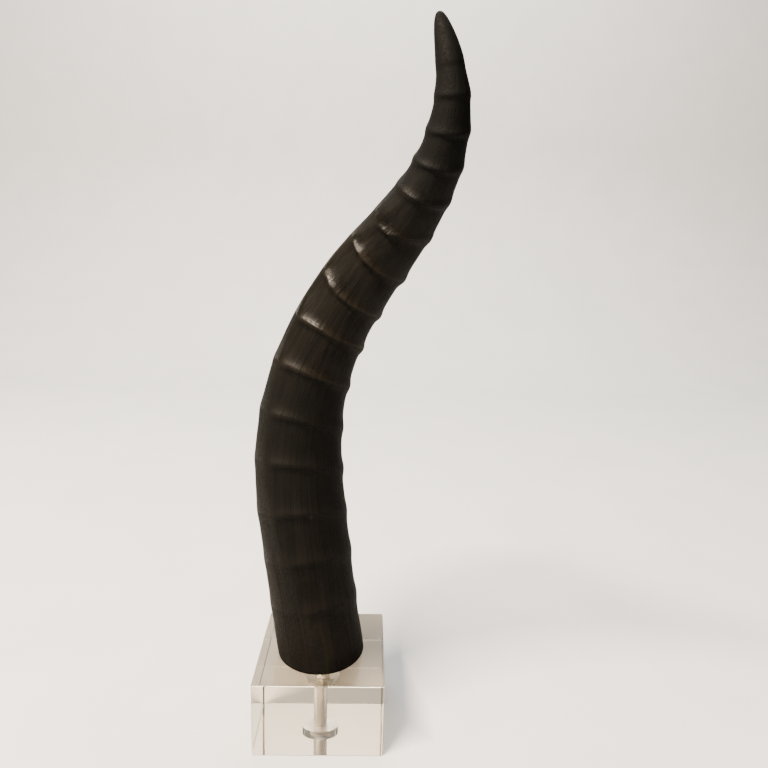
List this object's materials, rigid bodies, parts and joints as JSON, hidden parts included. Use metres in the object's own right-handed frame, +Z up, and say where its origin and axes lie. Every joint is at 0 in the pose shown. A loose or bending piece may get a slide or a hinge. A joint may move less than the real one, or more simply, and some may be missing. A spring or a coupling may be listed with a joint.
{
  "type": "mounted ringed horn on a clear block",
  "caption": "A dark polished, curved and ringed horn standing upright on a square clear acrylic block, held by a metal rod and foot disc.",
  "frame": {"origin": "bottom centre of the whole object's box, level with the block's underside", "axes": "+Z up along the object's longest extent; -Y is the block's front, towards which the horn's tip leans; +X is the side to which the tip sweeps"},
  "size_m": [0.1468, 0.1308, 0.5135],
  "materials": {
    "polished_horn": "satin",
    "clear_acrylic": "polished",
    "satin_metal": "satin"
  },
  "bodies": {
    "root": {"horn": "polished_horn", "acrylic_block": "clear_acrylic", "mounting_rod": "satin_metal", "foot_disc": "satin_metal"}
  },
  "joints": []
}
